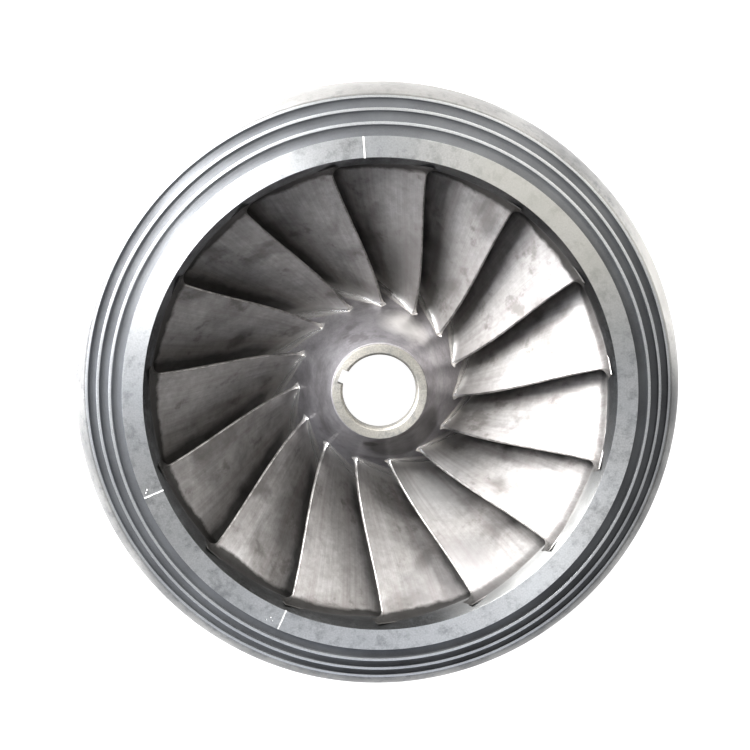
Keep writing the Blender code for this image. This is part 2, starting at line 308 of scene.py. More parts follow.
# %% Seal rings
seal_inner = OUTLET_FACE_RADIUS - SEATED
band_ring_outline = [(seal_inner, BAND_LANDS[0][2] - GROOVE_DEPTH)]
for land_inner, land_outer, height in BAND_LANDS:
    groove_inner = band_ring_outline[-1][0]
    if groove_inner > seal_inner:
        band_ring_outline.append((groove_inner, height - GROOVE_DEPTH))
    band_ring_outline.append((land_inner, height - GROOVE_DEPTH))
    band_ring_outline.append((land_inner, height))
    band_ring_outline.append((land_outer, height))
band_ring_outline.append((BAND_LANDS[-1][1], BAND_LEDGE_HEIGHT - SEATED))
band_ring_outline.append((seal_inner, BAND_LEDGE_HEIGHT - SEATED))
band_ring = turn_outline("band_labyrinth", band_ring_outline, edge=0.0004)

ring_top = CROWN_BACK_HEIGHT + SEATED
ring_width = CROWN_RING_OUTER_RADIUS - CROWN_RING_INNER_RADIUS
land_pitch = (ring_width - LAND_WIDTH) / (CROWN_RING_LANDS - 1)
crown_ring_outline = [(CROWN_RING_OUTER_RADIUS, ring_top)]
for i in range(CROWN_RING_LANDS):
    outer = CROWN_RING_OUTER_RADIUS - i * land_pitch
    if i > 0:
        crown_ring_outline.append((outer, CROWN_RING_BOTTOM + GROOVE_DEPTH))
    crown_ring_outline.append((outer, CROWN_RING_BOTTOM))
    crown_ring_outline.append((outer - LAND_WIDTH, CROWN_RING_BOTTOM))
    if i < CROWN_RING_LANDS - 1:
        crown_ring_outline.append((outer - LAND_WIDTH, CROWN_RING_BOTTOM + GROOVE_DEPTH))
crown_ring_outline.append((CROWN_RING_INNER_RADIUS, ring_top))
crown_ring = turn_outline("crown_labyrinth", crown_ring_outline, edge=0.0004)

# %% [markdown]
# ## The crown
#
# The crown is the wheel's back disc and hub in one casting. Between the blade roots it rises in a
# steep cone, the nose, which the water leaves last. Its back is turned flat, with a round fillet
# into the hub that the wheel lies on.

# %% Crown
NOSE_STEPS = 12
CROWN_STEPS = 32
HUB_FILLET_STEPS = 8
nose_wall = (
    (ROOT_RADIUS, ROOT_HEIGHT),
    (ROOT_RADIUS - ROOT_RUN / 3, ROOT_HEIGHT + ROOT_RISE / 3),
    (NOSE_RADIUS + NOSE_RUN, NOSE_HEIGHT - NOSE_RISE),
    (NOSE_RADIUS, NOSE_HEIGHT),
)
hub_hole = SLEEVE_RADIUS - SEATED
crown_outline = [(hub_hole, NOSE_HEIGHT)]
crown_outline += [tuple(cubic(nose_wall, 1 - i / NOSE_STEPS)) for i in range(NOSE_STEPS + 1)]
crown_outline += [tuple(crown_wall(1 - i / CROWN_STEPS)) for i in range(1, CROWN_STEPS + 1)]
crown_outline += [(RIM_RADIUS, CROWN_BACK_HEIGHT)]
crown_outline += arc(
    (HUB_BACK_RADIUS + HUB_FILLET_RADIUS, CROWN_BACK_HEIGHT),
    (HUB_BACK_RADIUS, CROWN_BACK_HEIGHT),
    (HUB_BACK_RADIUS, CROWN_BACK_HEIGHT - HUB_FILLET_RADIUS),
    HUB_FILLET_STEPS,
)
crown_outline += [
    (HUB_BACK_RADIUS, 0.0),
    (REGISTER_RADIUS, 0.0),
    (REGISTER_RADIUS, REGISTER_DEPTH),
    (HOLLOW_BOTTOM_RADIUS, REGISTER_DEPTH),
    (HOLLOW_TOP_RADIUS, SLEEVE_BOTTOM + SEATED),
    (hub_hole, SLEEVE_BOTTOM + SEATED),
]
crown = turn_outline("crown_casting", crown_outline)

# %% [markdown]
# ## The sleeve
#
# The shaft goes through a steel sleeve in the hub. Its top is the pale ring in the middle of the
# picture, where the shaft's nut seats. The keyway is a slot along the bore, which a cube cuts with a
# Boolean, as a slotting tool does.

# %% Sleeve and keyway
SEAT_CHAMFER_WIDTH = 0.0025
SEAT_CHAMFER_HEIGHT = 0.003
SLOT_OVERRUN = 0.010
SLEEVE_STEPS = 144
sleeve_outline = [
    (BORE_RADIUS + SEAT_CHAMFER_WIDTH, SLEEVE_TOP),
    (SLEEVE_RADIUS, SLEEVE_TOP),
    (SLEEVE_RADIUS, SLEEVE_BOTTOM),
    (BORE_RADIUS, SLEEVE_BOTTOM),
    (BORE_RADIUS, SLEEVE_TOP - SEAT_CHAMFER_HEIGHT),
]
sleeve = turn_outline("sleeve_bored", sleeve_outline, edge=0.0010, steps=SLEEVE_STEPS)


def cut_away(piece, cutter):
    """Cuts one object out of another and deletes the cutter."""
    deselect_all()
    bpy.context.view_layer.objects.active = piece
    piece.select_set(True)
    boolean = piece.modifiers.new("Cut", "BOOLEAN")
    boolean.operation = "DIFFERENCE"
    boolean.solver = "EXACT"
    boolean.object = cutter
    bpy.ops.object.modifier_apply(modifier=boolean.name)
    bpy.data.objects.remove(cutter)


deselect_all()
slot_inner = BORE_RADIUS - SLOT_OVERRUN
slot_outer = BORE_RADIUS + KEYWAY_DEPTH
bpy.ops.mesh.primitive_cube_add(size=1.0)
key_cutter = bpy.context.object
key_cutter.dimensions = (slot_outer - slot_inner, KEYWAY_WIDTH, 2 * (SLEEVE_TOP - SLEEVE_BOTTOM))
middle = (slot_inner + slot_outer) / 2
slot_height = (SLEEVE_TOP + SLEEVE_BOTTOM) / 2
key_cutter.location = (
    middle * math.cos(KEYWAY_ANGLE),
    middle * math.sin(KEYWAY_ANGLE),
    slot_height,
)
key_cutter.rotation_euler.z = KEYWAY_ANGLE
cut_away(sleeve, key_cutter)
bpy.ops.object.shade_smooth_by_angle(angle=SMOOTH_BELOW)

# %% [markdown]
# ## Shape of a blade
#
# A blade is a thin curved sheet between crown and band. Two numbers place a point on its middle: the
# chord, 0 at the leading edge and 1 at the trailing edge, and the span, 0 at the crown and 1 at the
# band. The channel gives a point's radius and height. The angle about the axis is a smooth curve
# whose slope at each end is the blade's angle to the turning direction there. The blade lies flatter
# near the band, which moves faster. At the crown its trailing edge leads the outer tip by 16.5
# degrees, along a line that bows.

# %% Middle surface of a blade
BLADE_COUNT = 15
FIRST_TIP_ANGLE = math.radians(102.5)
LEADING_EDGE_RADIUS = 0.410
WRAP_ANGLE = math.radians(50.0)
ROOT_LEAD = math.radians(16.5)
INLET_BLADE_ANGLE = math.radians(75.0)
TIP_OUTLET_ANGLE = math.radians(20.0)
EDGE_STRAIGHT_SHARE = 0.25
# The step of chord over which a slope is measured.
STEP = 0.001

edge_setback = RIM_RADIUS - LEADING_EDGE_RADIUS
leading_on_band = math.asin(edge_setback / (RIM_RADIUS - THROAT_RADIUS)) / (math.pi / 2)
leading_on_crown = edge_setback / (3 * (1 - CROWN_FLAT_SHARE) * RIM_RADIUS)


def channel_point(span, chord):
    on_crown = crown_wall(leading_on_crown + (1 - leading_on_crown) * chord)
    on_band = band_wall(leading_on_band + (1 - leading_on_band) * chord)
    return on_crown * (1 - span) + on_band * span


def channel_speed(span, chord):
    """Length along the channel for each unit of chord."""
    return (channel_point(span, chord + STEP) - channel_point(span, chord)).length / STEP


def camber_angle(span, chord):
    """Angle about the axis, counted from the blade's outer tip."""
    leading = channel_point(span, 0.0)
    start_slope = -channel_speed(span, 0.0) / (leading.x * math.tan(INLET_BLADE_ANGLE))
    end_slope = -channel_speed(span, 1.0) / (THROAT_RADIUS * math.tan(TIP_OUTLET_ANGLE))
    inward = 1 - span
    bowed = EDGE_STRAIGHT_SHARE * inward + (1 - EDGE_STRAIGHT_SHARE) * inward * inward
    end_angle = -ROOT_LEAD * bowed
    t = chord
    return (
        (2 * t**3 - 3 * t * t + 1) * WRAP_ANGLE
        + (t**3 - 2 * t * t + t) * start_slope
        + (3 * t * t - 2 * t**3) * end_angle
        + (t**3 - t * t) * end_slope
    )


print("blade wrap", round(math.degrees(camber_angle(0.5, 0.0) - camber_angle(0.5, 1.0))), "degrees")

# %% [markdown]
# ## Skin of a blade
#
# The blade is thickest near its round leading edge and thins to a blunt trailing edge. Where it
# meets crown and band the welder ran a bead and ground it hollow, so the skin swells out in a
# quarter circle there, on both sides and round the trailing edge. The bead on the crown fades towards
# the trailing edge, where the grinder gets at it best. A grid primitive is rolled round this skin:
# its columns go once round the blade's section and its rows go from crown to band, in equal steps of
# the quarter circles. The first and last rows close on the middle line, inside the walls.

# %% Skin of a blade
BLADE_HALF_THICKNESS = 0.0052
TRAILING_HALF_THICKNESS = 0.0023
EDGE_ROUNDING = 0.0009
EDGE_FLAT_SHARE = 0.45
CROWN_FILLET = 0.014
BAND_FILLET = 0.013
# The skin runs on this far into crown and band.
SUNK = 0.0015
# Shares of the chord: the round nose ends, the taper starts, the bead on the crown starts to fade.
NOSE_END = 0.06
TAPER_START = 0.35
FADE_START = 0.84
# Shares of the fillet: lost at the trailing edge, left round it and left round the leading edge.
FADED = 0.7
ROUND_TRAILING_EDGE = 0.8
ROUND_LEADING_EDGE = 0.6
CHORD_STEPS = 34
CHORD_CROWDING = 1.3
SPAN_STEPS = 16
FILLET_STEPS = 8


def between(low, value, high):
    """The share of the way from low to high, held between 0 and 1."""
    return min(max((value - low) / (high - low), 0.0), 1.0)


def half_thickness(chord):
    nose = math.sqrt(between(0.0, chord, NOSE_END))
    thinned = (TRAILING_HALF_THICKNESS - BLADE_HALF_THICKNESS) * between(TAPER_START, chord, 1.0)
    return nose * (BLADE_HALF_THICKNESS + thinned)


def fillet_swell(distance, radius):
    """How far a hollow fillet of this radius stands off the skin at a distance from the wall."""
    if distance >= radius:
        return 0.0
    inside = max(distance, 0.0)
    return radius - math.sqrt(radius**2 - (radius - inside) ** 2)


def section_stations():
    """(chord, side) pairs once round a section: leading edge, one side out, other side back."""
    turns = [math.pi / 2 * i / CHORD_STEPS for i in range(1, CHORD_STEPS)]
    chords = [math.sin(turn) ** CHORD_CROWDING for turn in turns]
    outwards = [(chord, 1.0) for chord in chords]
    edge = [(1.0, side) for side in (1.0, EDGE_FLAT_SHARE, -EDGE_FLAT_SHARE, -1.0)]
    backwards = [(chord, -1.0) for chord in reversed(chords)]
    return [(0.0, 0.0), *outwards, *edge, *backwards, (0.0, 0.0)]


def quarter_turn_share(i):
    """Distance from the wall after i steps of the quarter circle, as a share of its radius."""
    return 1 - math.cos(math.pi / 2 * i / FILLET_STEPS)


def span_stations(width):
    """(span, share of the thickness) pairs from crown to band, close together in the fillets."""
    rows = [(-SUNK / width, 0.0), (-SUNK / width, 1.0)]
    steps = range(FILLET_STEPS + 1)
    rows += [(CROWN_FILLET * quarter_turn_share(i) / width, 1.0) for i in steps]
    first = CROWN_FILLET / width
    last = 1 - BAND_FILLET / width
    rows += [(first + (last - first) * i / SPAN_STEPS, 1.0) for i in range(1, SPAN_STEPS + 1)]
    rows += [(1 - BAND_FILLET * quarter_turn_share(i) / width, 1.0) for i in reversed(steps[:-1])]
    rows += [(1 + SUNK / width, 1.0), (1 + SUNK / width, 0.0)]
    return rows


def skin_point(row, chord, side, width):
    """A point of the skin. side is 1 or -1 on the blade's two sides, and between them on an edge."""
    span, share = row
    fading = between(FADE_START, chord, 1.0)
    at_crown = (1 - FADED * fading * fading) * fillet_swell(span * width, CROWN_FILLET)
    at_band = fillet_swell((1 - span) * width, BAND_FILLET)
    swell = at_crown + at_band
    speed = channel_speed(span, chord)
    middle = channel_point(span, chord)
    turn = (camber_angle(span, chord + STEP) - camber_angle(span, chord)) / STEP
    across = middle.x * turn
    length = math.hypot(speed, across)
    # offset goes square to the middle surface, and forward goes along it, past the edge.
    offset = side * share * (half_thickness(chord) + swell * between(0.0, chord, NOSE_END))
    forward = 0.0
    if chord >= 1.0:
        corner = between(EDGE_FLAT_SHARE, abs(side), 1.0)
        bead = ROUND_TRAILING_EDGE * at_crown + at_band
        forward = share * (bead - EDGE_ROUNDING * corner**2)
    elif chord <= 0.0:
        forward = -share * ROUND_LEADING_EDGE * swell
    moved = chord + (forward * speed / length - offset * across / length) / speed
    angle = camber_angle(span, chord) + (offset * speed + forward * across) / length / middle.x
    radius, height = channel_point(span, moved)
    return Vector((radius * math.cos(angle), radius * math.sin(angle), height))


print("section", len(section_stations()), "columns")

# %% [markdown]
# ## One blade
#
# The pattern blade also carries four numbers at each point, which its material reads: how near the
# polished bead of the root is, whether the point is on the trailing edge, how far it lies clear of the
# next blade's edge as we look in, and how far it is from the band. The first also places a painted
# highlight, and the last two place painted shade.

# %% Model one blade
BLADE_PITCH = math.tau / BLADE_COUNT
# The polish ends this many fillets from the crown.
POLISH_REACH = 1.15
# The number of rows is the same for any width of the channel.
NOMINAL_WIDTH = 0.2
BLADE_MERGE_DISTANCE = 0.00002
BLADE_SMOOTH_BELOW = math.radians(35)


def clearance_of(place):
    """How far a point lies clear of the next blade's trailing edge, seen along the axis, for painted
    shadow.
    """
    radius = math.hypot(place.x, place.y)
    span = between(ROOT_RADIUS, radius, THROAT_RADIUS)
    next_edge = camber_angle(span, 1.0) + BLADE_PITCH
    return (next_edge - math.atan2(place.y, place.x)) * radius


stations = section_stations()
row_count = len(span_stations(NOMINAL_WIDTH))
deselect_all()
bpy.ops.mesh.primitive_grid_add(
    x_subdivisions=len(stations) - 1, y_subdivisions=row_count - 1, size=1.0
)
blade_pattern = bpy.context.object
blade_pattern.name = "blade_pattern"
bpy.ops.object.mode_set(mode="EDIT")
shape = bmesh.from_edit_mesh(blade_pattern.data)
fillet_share = shape.verts.layers.float.new("fillet_share")
edge_share = shape.verts.layers.float.new("edge_share")
clearance = shape.verts.layers.float.new("clearance")
band_gap = shape.verts.layers.float.new("band_gap")
chord_rows = {}
for chord, _side in stations:
    width = (channel_point(1.0, chord) - channel_point(0.0, chord)).length
    chord_rows[chord] = (width, span_stations(width))
for vert in shape.verts:
    column = round((vert.co.x + 0.5) * (len(stations) - 1))
    row = round((vert.co.y + 0.5) * (row_count - 1))
    chord, side = stations[column]
    width, rows = chord_rows[chord]
    span = rows[row][0]
    vert.co = skin_point(rows[row], chord, side, width)
    vert[clearance] = clearance_of(vert.co)
    vert[band_gap] = (1 - span) * width
    vert[fillet_share] = min(max(POLISH_REACH - span * width / CROWN_FILLET, 0.0), 1.0)
    vert[edge_share] = float(chord >= 1.0)
bmesh.update_edit_mesh(blade_pattern.data)
bpy.ops.mesh.select_all(action="SELECT")
bpy.ops.mesh.remove_doubles(threshold=BLADE_MERGE_DISTANCE)
bpy.ops.mesh.normals_make_consistent(inside=False)
bpy.ops.object.mode_set(mode="OBJECT")
bpy.ops.object.shade_smooth_by_angle(angle=BLADE_SMOOTH_BELOW)
print("blade pattern has", row_count, "rows and", len(blade_pattern.data.polygons), "faces")

# %% [markdown]
# ## Fifteen blades
#
# The blades are equal, a fifteenth of a turn apart. Each gets its own copy of the pattern. The turn
# goes into the copy's mesh, because a finished piece keeps its place in its mesh and its object at
# the origin.

# %% Copy the blades round the axis
blades = []
for i in range(BLADE_COUNT):
    deselect_all()
    bpy.context.view_layer.objects.active = blade_pattern
    blade_pattern.select_set(True)
    bpy.ops.object.duplicate(linked=False)
    blade = bpy.context.object
    blade.name = f"blade_ground_{i + 1:02d}"
    blade.data.name = blade.name
    turn = FIRST_TIP_ANGLE + i * BLADE_PITCH
    blade.data.transform(Matrix.Rotation(turn, 4, "Z"))
    blades.append(blade)
bpy.data.objects.remove(blade_pattern)
print("blades:", len(blades))

# %% [markdown]
# ## Scribed marks
#
# Three fine radial lines are filed across the outlet face, from balancing or from marking out the
# blades. Each is a shallow groove that a thin cube cuts. Two of them have a few punch dots beside
# them, which a small cone cuts: it stands half out of the face, so it is made twice as large as a dot.

# %% Cut the marks into the outlet face
MARK_ANGLES = (94.0, -157.0, -114.0)
MARK_WIDTH = 0.0022
MARK_DEPTH = 0.0005
MARK_OVERRUN = 0.006
FACE_WIDTH = OUTLET_FACE_RADIUS - OUTLET_RADIUS


def place_cutter(cutter, degrees, radius):
    """Turns a cutter to an angle about the axis and puts it at a radius on the outlet face."""
    turn = math.radians(degrees)
    cutter.rotation_euler.z = turn
    cutter.location = (radius * math.cos(turn), radius * math.sin(turn), OUTLET_FACE_HEIGHT)


for degrees in MARK_ANGLES:
    deselect_all()
    bpy.ops.mesh.primitive_cube_add(size=1.0)
    groove_cutter = bpy.context.object
    groove_cutter.dimensions = (FACE_WIDTH + MARK_OVERRUN, MARK_WIDTH, 2 * MARK_DEPTH)
    place_cutter(groove_cutter, degrees, OUTLET_RADIUS + FACE_WIDTH / 2)
    cut_away(band, groove_cutter)
print("marks cut:", len(MARK_ANGLES))

# %% Punch dots beside two of the marks
PUNCH_RADIUS = 0.0011
PUNCH_DEPTH = 0.0008
PUNCH_DOTS = (
    (-158.1, 0.3325),
    (-158.6, 0.3300),
    (-116.0, 0.3300),
    (-116.7, 0.3265),
    (-117.3, 0.3320),
)
for degrees, radius in PUNCH_DOTS:
    deselect_all()
    bpy.ops.mesh.primitive_cone_add(
        vertices=16, radius1=0.0, radius2=2 * PUNCH_RADIUS, depth=2 * PUNCH_DEPTH
    )
    punch = bpy.context.object
    place_cutter(punch, degrees, radius)
    cut_away(band, punch)
bpy.ops.object.shade_smooth_by_angle(angle=SMOOTH_BELOW)
print("band has", len(band.data.polygons), "faces after cutting")
for piece in (band, band_ring, crown, crown_ring, sleeve):
    keep_flats_flat(piece)

# %% [markdown]
# ## Helpers for materials
#
# Colours are written as sRGB hex values, as a colour picker shows them, and turned to the linear
# numbers that the shader wants. One function adds a node, sets its properties and feeds its inputs.
# A pattern's scale is one over its real size in metres. A noise hovers about 0.5, so where a stain
# starts to show and where it is full are both picked near that. Where one side of the wheel is to be
# lighter or darker than the rest, a patch with a ragged border is laid at that place: some patches are
# stains and wear from handling, cleaning or the grinder, and some are painted highlights and painted
# shade.

# %% Material helpers
MM = 0.001
# How far a stain's border wanders, and the values between which nearly all of a noise lies.
RAGGED = 5 * MM
NOISE_LOW = 0.3
NOISE_HIGH = 0.7


def linear(hex_colour):
    channels = [int(hex_colour[i : i + 2], 16) / 255 for i in (1, 3, 5)]
    return tuple(((c + 0.055) / 1.055) ** 2.4 if c > 0.04045 else c / 12.92 for c in channels)


def add_node(tree, kind, inputs=None, **settings):
    """Adds a shader node. inputs maps a socket to a value, a hex colour or a node's output."""
    node = tree.nodes.new("ShaderNode" + kind)
    for name, value in settings.items():
        setattr(node, name, value)
    for name, value in (inputs or {}).items():
        if isinstance(value, bpy.types.NodeSocket):
            tree.links.new(value, node.inputs[name])
        elif isinstance(value, str):
            node.inputs[name].default_value = (*linear(value), 1.0)
        else:
            node.inputs[name].default_value = value
    return node


def new_metal(name, anisotropic, rotation=0.0, metallic=1.0):
    """A Principled metal and its shader. A film of dirt that isn't metal brings metallic under 1."""
    material = bpy.data.materials.new(name)
    material.use_nodes = True
    shader = material.node_tree.nodes["Principled BSDF"]
    shader.inputs["Metallic"].default_value = metallic
    shader.inputs["Anisotropic"].default_value = anisotropic
    shader.inputs["Anisotropic Rotation"].default_value = rotation
    return material, shader


def lay_over(tree, value, none_at, full_at, strength, colour, tone):
    """Lays a tone over a colour, from nothing at one value to the given strength at another."""
    inputs = {0: value, 1: none_at, 2: full_at, 3: 0.0, 4: strength}
    factor = add_node(tree, "MapRange", inputs).outputs[0]
    inputs = {0: factor, 6: colour, 7: tone}
    return add_node(tree, "Mix", inputs, data_type="RGBA").outputs[2]


def lay_patches(tree, place, ragged, colour, patches):
    """Lays ragged patches: centre, radius, width of the border, colour and strength of each."""
    for centre, reach, border, tone, strength in patches:
        inputs = {0: place, 1: centre}
        gap = add_node(tree, "VectorMath", inputs, operation="DISTANCE").outputs["Value"]
        torn = add_node(tree, "Math", {0: gap, 1: ragged}, operation="ADD").outputs[0]
        colour = lay_over(tree, torn, reach, reach - border, strength, colour, tone)
    return colour


print("linear value of mid grey:", round(linear("#808080")[0], 3))

# %% [markdown]
# ## Turned steel
#
# Chromium-nickel steel off the lathe. The tool leaves a spiral as fine as a record's groove, so light
# spreads across the groove and hardly along it: a round part shows a bright wedge that turns with
# the light. The shader does this with anisotropy, and a Tangent node round Z gives the groove's
# direction. Four noises work on it. One reads only the distance from the axis and the height, and
# draws the coarser turning marks. One is the cloudy film of oil and handling, one the dull scuffs
# from lying about in the works, and the last is the fine grain of the cut.

# %% Turned steel
ACROSS_THE_GROOVE = 0.25
# Real turning marks are 0.3 mm apart and the grain is finer yet. A pixel of the picture is 1.4 mm
# wide, so both are drawn just coarse enough to show.
TOOL_MARK = 1.6 * MM
GRAIN = 2.2 * MM
CLOUD = 70 * MM
SCUFF = 16 * MM
SCUFFED = "#6E7072"


def turned_metal(
    name,
    bright,
    dull,
    rough,
    anisotropic,
    mark_height,
    metallic=1.0,
    scuffs=0.0,
    grain=0.22,
    patches=(),
):
    """Steel off the lathe. scuffs and grain say how strongly these two dull it."""
    material, shader = new_metal(name, anisotropic, ACROSS_THE_GROOVE, metallic)
    tree = material.node_tree
    place = add_node(tree, "TexCoord").outputs["Object"]
    flat = add_node(tree, "VectorMath", {0: place, 1: (1, 1, 0)}, operation="MULTIPLY")
    radius = add_node(tree, "VectorMath", {0: flat.outputs[0]}, operation="LENGTH")
    height = add_node(tree, "SeparateXYZ", {0: place}).outputs["Z"]
    inputs = {0: radius.outputs["Value"], 1: height}
    along = add_node(tree, "Math", inputs, operation="ADD").outputs[0]
    inputs = {"W": along, "Scale": 1 / TOOL_MARK, "Detail": 3.0}
    marks = add_node(tree, "TexNoise", inputs, noise_dimensions="1D").outputs[0]
    inputs = {"Vector": place, "Scale": 1 / CLOUD, "Detail": 6.0}
    clouds = add_node(tree, "TexNoise", inputs).outputs[0]
    inputs = {"Vector": place, "Scale": 1 / SCUFF, "Detail": 8.0, "Roughness": 0.72}
    scuffing = add_node(tree, "TexNoise", inputs).outputs[0]
    inputs = {"Vector": place, "Scale": 1 / GRAIN, "Detail": 2.0}
    fine = add_node(tree, "TexNoise", inputs).outputs[0]
    inputs = {0: fine, 1: NOISE_LOW, 2: NOISE_HIGH, 3: 0.0, 4: 1.0}
    speckle = add_node(tree, "MapRange", inputs).outputs[0]

    colour = lay_over(tree, clouds, 0.35, 0.68, 1.0, bright, dull)
    colour = lay_over(tree, scuffing, 0.5, 0.66, scuffs, colour, SCUFFED)
    colour = lay_over(tree, marks, NOISE_LOW, NOISE_HIGH, 0.25, colour, dull)
    colour = lay_over(tree, speckle, 0.0, 1.0, grain, colour, SCUFFED)
    inputs = {0: scuffing, 1: NOISE_LOW, 2: NOISE_HIGH, 3: -2 * RAGGED, 4: 2 * RAGGED}
    ragged = add_node(tree, "MapRange", inputs).outputs[0]
    colour = lay_patches(tree, place, ragged, colour, patches)
    tree.links.new(colour, shader.inputs["Base Color"])

    # Where the film of oil is thick, the surface is a little rougher.
    inputs = {0: clouds, 1: NOISE_LOW, 2: NOISE_HIGH, 3: rough - 0.05, 4: rough + 0.08}
    roughness = add_node(tree, "MapRange", inputs)
    tree.links.new(roughness.outputs[0], shader.inputs["Roughness"])
    relief = add_node(tree, "Math", {0: marks, 1: speckle}, operation="ADD").outputs[0]
    inputs = {"Height": relief, "Strength": 0.5, "Distance": mark_height}
    bump = add_node(tree, "Bump", inputs)
    tree.links.new(bump.outputs[0], shader.inputs["Normal"])
    tangent = add_node(tree, "Tangent", direction_type="RADIAL", axis="Z")
    tree.links.new(tangent.outputs[0], shader.inputs["Tangent"])
    return material


# %% Finishes off the lathe
# The outlet face is fine turned, with scuffs. Towards the upper right it is a little darker and
# warmer.
turned_steel = turned_metal(
    "turned_steel",
    "#D2D3D4",
    "#B0B2B4",
    rough=0.36,
    anisotropic=0.7,
    mark_height=0.05 * MM,
    scuffs=0.6,
    grain=0.3,
    patches=(((0.220, 0.240, 0.330), 0.230, 0.140, "#BCBAB1", 0.5),),
)
# The sealing lands are turned finest of all, so they stay bright from every side.
land_steel = turned_metal(
    "bright_land_steel", "#DCDEDF", "#C6C8CB", rough=0.34, anisotropic=0.6, mark_height=0.02 * MM
)
# The grooves are rough turned and dark, partly from dirt and partly as painted shade, with a strong
# wedge across them.
groove_steel = turned_metal(
    "rough_turned_steel",
    "#6A6C6F",
    "#58595C",
    rough=0.46,
    anisotropic=0.88,
    mark_height=0.06 * MM,
    metallic=0.7,
    scuffs=0.3,
    grain=0.35,
)
# The sides of the lands are cut by the tool's flank and dirty, and spread the light nearly evenly.
step_steel = turned_metal(
    "dull_step_steel",
    "#85878A",
    "#707275",
    rough=0.6,
    anisotropic=0.3,
    mark_height=0.06 * MM,
    metallic=0.3,
    scuffs=0.3,
    grain=0.35,
)
# The band's outer flank is scuffed from handling. It is painted darker at the top as painted shade,
# and lighter at the right as a painted highlight.
flank_steel = turned_metal(
    "scuffed_turned_steel",
    "#B2B1AF",
    "#858585",
    rough=0.44,
    anisotropic=0.7,
    mark_height=0.08 * MM,
    metallic=0.85,
    scuffs=0.8,
    grain=0.3,
    patches=(
        # Painted shade at the top.
        ((0.000, 0.400, 0.220), 0.260, 0.140, "#7C7A77", 0.55),
        # A painted highlight at the right.
        ((0.385, 0.140, 0.220), 0.150, 0.100, "#E4E2DE", 0.55),
    ),
)
# The band's wetted wall is turned coarse and stained. Its dark tone is partly painted shade in the
# throat, and the light patch at the lower right is a painted highlight.
wall_steel = turned_metal(
    "turned_wall_steel",
    "#5E5F5F",
    "#333333",
    rough=0.38,
    anisotropic=0.85,
    mark_height=0.1 * MM,
    scuffs=0.7,
    grain=0.3,
    # A painted highlight on the wall at the lower right.
    patches=(((0.220, -0.212, 0.290), 0.170, 0.090, "#C4C4C2", 0.4),),
)
# The sleeve is a yellower steel with a dull, grainy face.
sleeve_steel = turned_metal(
    "pale_sleeve_steel",
    "#BDB9B0",
    "#98948B",
    rough=0.5,
    anisotropic=0.3,
    mark_height=0.08 * MM,
    scuffs=0.7,
    grain=0.5,
)
# A file leaves fresh, nearly white metal.
mark_steel = turned_metal(
    "fresh_filed_steel", "#F4F4F2", "#E6E6E4", rough=0.5, anisotropic=0.0, mark_height=0.02 * MM
)
print("finishes off the lathe:", len(bpy.data.materials))

# %% [markdown]
# ## Ground casting
#
# Blades and crown are the same steel as cast, ground by hand and left to stain. The grinder's
# streaks on a blade run from crown to band, so they follow the blade's own UV map, which the grid
# gave it. The same map stretches a coarser noise into broad marks of wiping. Brown-grey stains, a
# fine mottle and dark smears read Object coordinates, so no two blades are alike.
#
# A blade is painted dark where the next blade's edge covers it as we look in, and in the corner by the
# band, which is also rougher: this is painted shade, in the colour of steel left as cast. In the
# corner it is weaker at the right, where the light falls. The beads at the roots are polished, and
# their lighter colour is also a painted highlight.

# %% Ground casting
# The grit's own scratches are under a millimetre apart, too fine for the picture, so the streaks are
# two pixels wide.
STREAK_SPACING = 3.0 * MM
STREAK_LENGTH = 60 * MM
BLADE_GIRTH = 0.80
BLADE_SPAN = 0.23
WIPING = 0.22
STAIN = 45 * MM
BLOT = 100 * MM
MOTTLE = 13 * MM
# Polished steel of the root beads; it is lighter also as a painted highlight.
POLISHED_AND_HIGHLIGHT = "#D2D0CE"
EDGE_GREY = "#8A8886"
WIPED = "#86797A"
# Steel as cast: in nicks on the trailing edges it is wear, elsewhere on a blade it is painted shade.
AS_CAST_AND_SHADE = "#32312F"
# How far the painted shade reaches from the next blade's edge, and from the band.
SHADOW_REACH = 6 * MM
CORNER_SHADE_REACH = 8 * MM
# Round this point, at the right where the light falls, the painted shade in the corner is weaker.
LIT_SIDE_CENTRE = (0.287, -0.104, 0.290)
LIT_SIDE_RADIUS = 0.15
LIT_SIDE_BORDER = 0.12
CORNER_ROUGHNESS = 0.5
POLISHED_ROUGHNESS = 0.25


